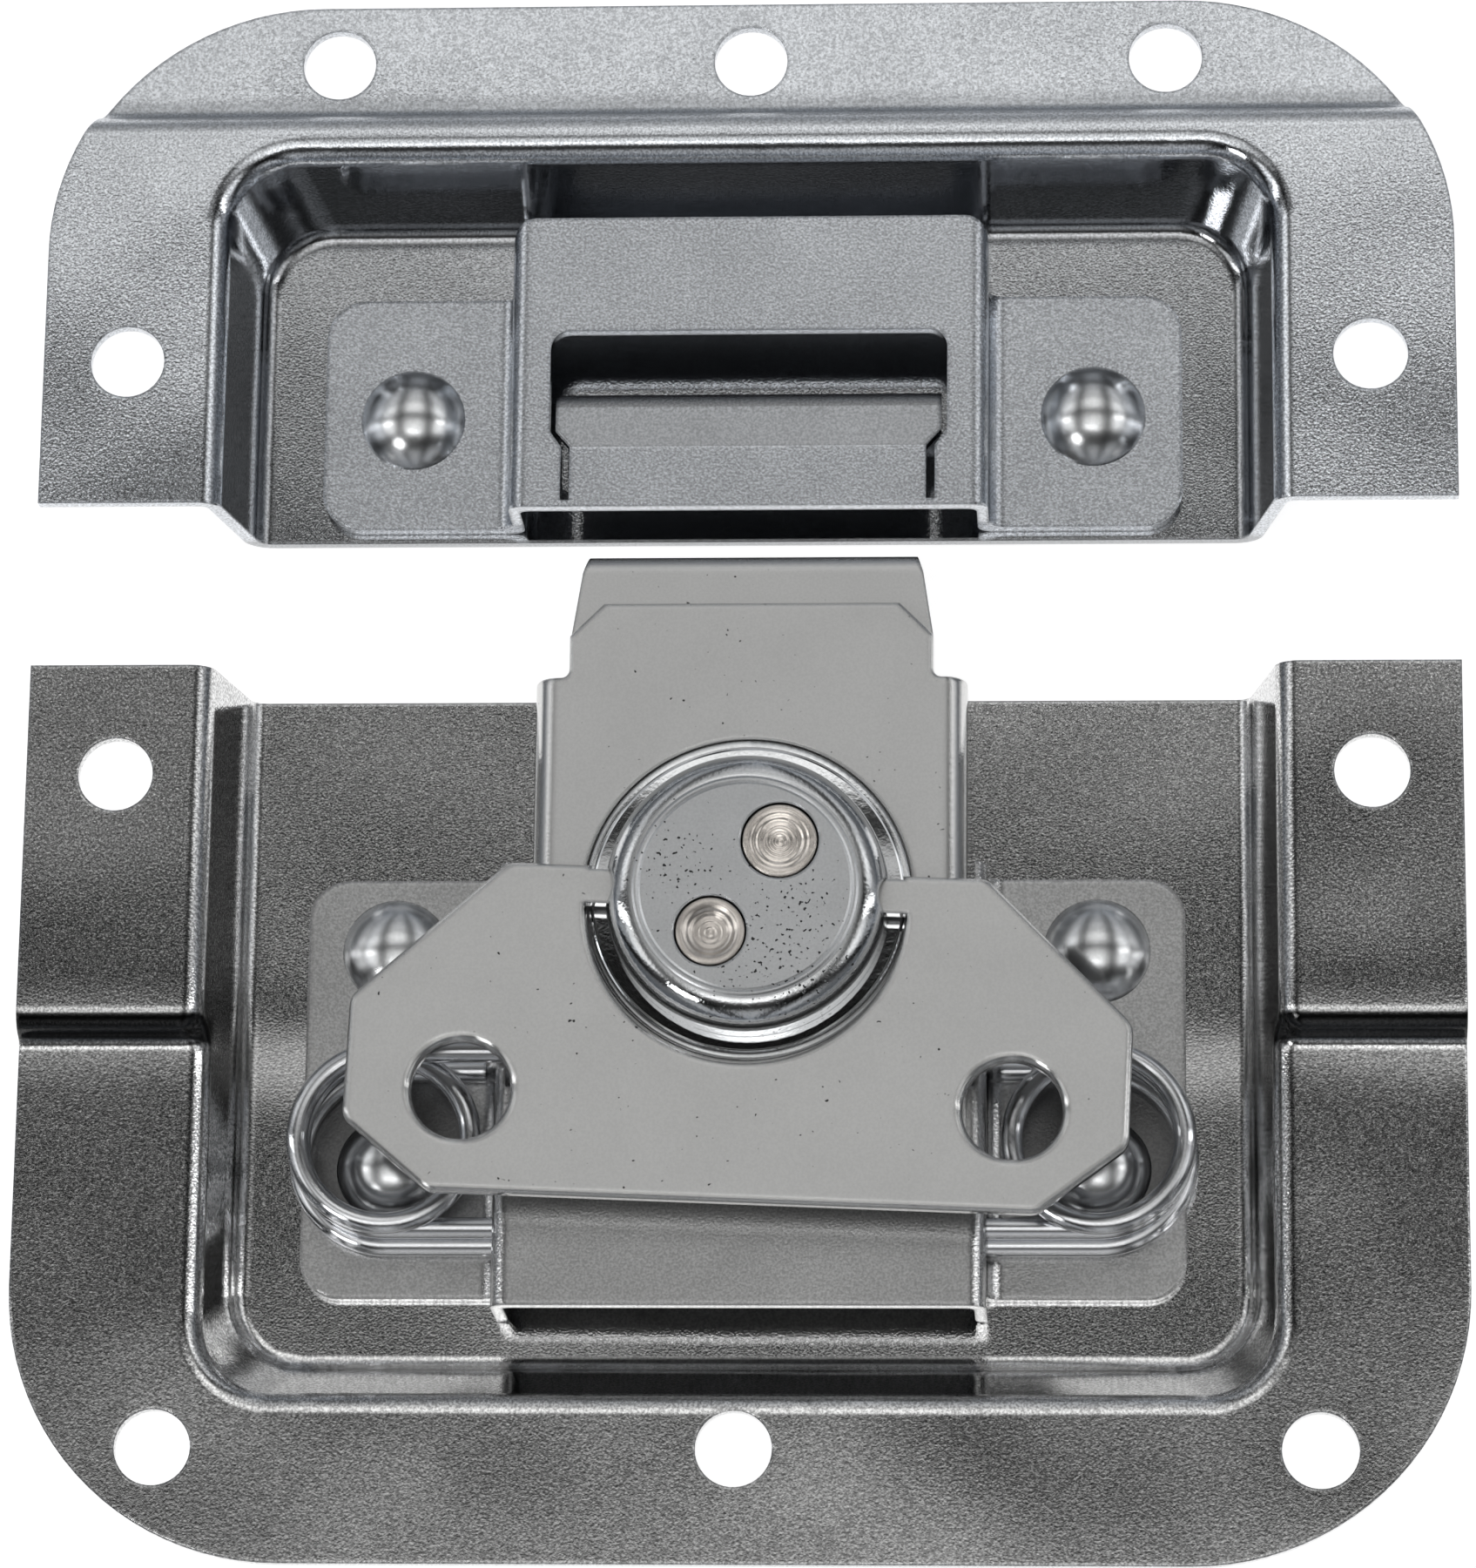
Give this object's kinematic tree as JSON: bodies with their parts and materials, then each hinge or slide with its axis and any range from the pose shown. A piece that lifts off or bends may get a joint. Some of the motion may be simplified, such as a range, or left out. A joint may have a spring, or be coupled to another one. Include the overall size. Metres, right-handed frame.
{
  "type": "butterfly case latch",
  "caption": "Recessed butterfly latch for a flight case: pressed dish with turn wing and drawn-in claw, and the dished catch half with its strike plate.",
  "frame": {"origin": "middle of the latch half's mating edge, on the plane of the mounting flange's underside", "axes": "+X to the right, +Y from the latch half to the catch half, +Z out of the case towards the viewer"},
  "size_m": [0.105, 0.1186, 0.0148],
  "materials": {
    "dish_plating": "bright plated, fine grain",
    "plate_plating": "bright plated, fine grain",
    "rivet_plating": "bright plated",
    "spring_wire": "bright drawn wire",
    "claw_plating": "satin plated",
    "disc_plating": "bright turned",
    "cap_plating": "bright drawn",
    "pin_steel": "raw peened steel",
    "wing_plating": "satin plated"
  },
  "bodies": {
    "root": {"latch_dish": "dish_plating", "base_plate": "plate_plating", "base_rivet_lu": "rivet_plating", "base_rivet_ll": "rivet_plating", "base_rivet_ru": "rivet_plating", "base_rivet_rl": "rivet_plating"},
    "spring": {"tension_spring": "spring_wire", "spring_loop": "spring_wire"},
    "claw": {"claw_channel": "claw_plating", "hook_plate": "claw_plating"},
    "hub": {"cam_disc": "disc_plating", "hub_cap": "cap_plating", "drive_pin": "pin_steel", "plain_pin": "pin_steel", "pin_washer": "pin_steel"},
    "wing": {"butterfly_wing": "wing_plating"},
    "catch": {"catch_dish": "dish_plating", "catch_plate": "plate_plating", "catch_rivet_l": "rivet_plating", "catch_rivet_r": "rivet_plating"}
  },
  "joints": [
    {"name": "claw_lift", "type": "hinge", "parent": "root", "child": "spring", "pos_m": [0, -0.042, -0.0053], "axis": [1, 0, 0], "range_deg": [0, 3.7]},
    {"name": "claw_slide", "type": "slide", "parent": "spring", "child": "claw", "axis": [0, 1, 0], "range_m": [0, 0.0073]},
    {"name": "hub_turn", "type": "hinge", "parent": "claw", "child": "hub", "pos_m": [0.0006, -0.0176, 0], "axis": [0, 0, 1], "range_deg": [0, 180]},
    {"name": "wing_fold", "type": "hinge", "parent": "hub", "child": "wing", "pos_m": [0.0006, -0.0176, 0.0036], "axis": [-0.9993, 0.0384, 0], "range_deg": [0, 180]},
    {"name": "catch_travel", "type": "slide", "parent": "root", "child": "catch", "axis": [0, 1, 0], "range_m": [-0.004, 0.03]}
  ],
  "couplings": [
    {"joint": "claw_slide", "follows": "hub_turn", "m_per_rad": 0.0021452},
    {"joint": "claw_lift", "follows": "hub_turn", "ratio": 0.018887}
  ]
}
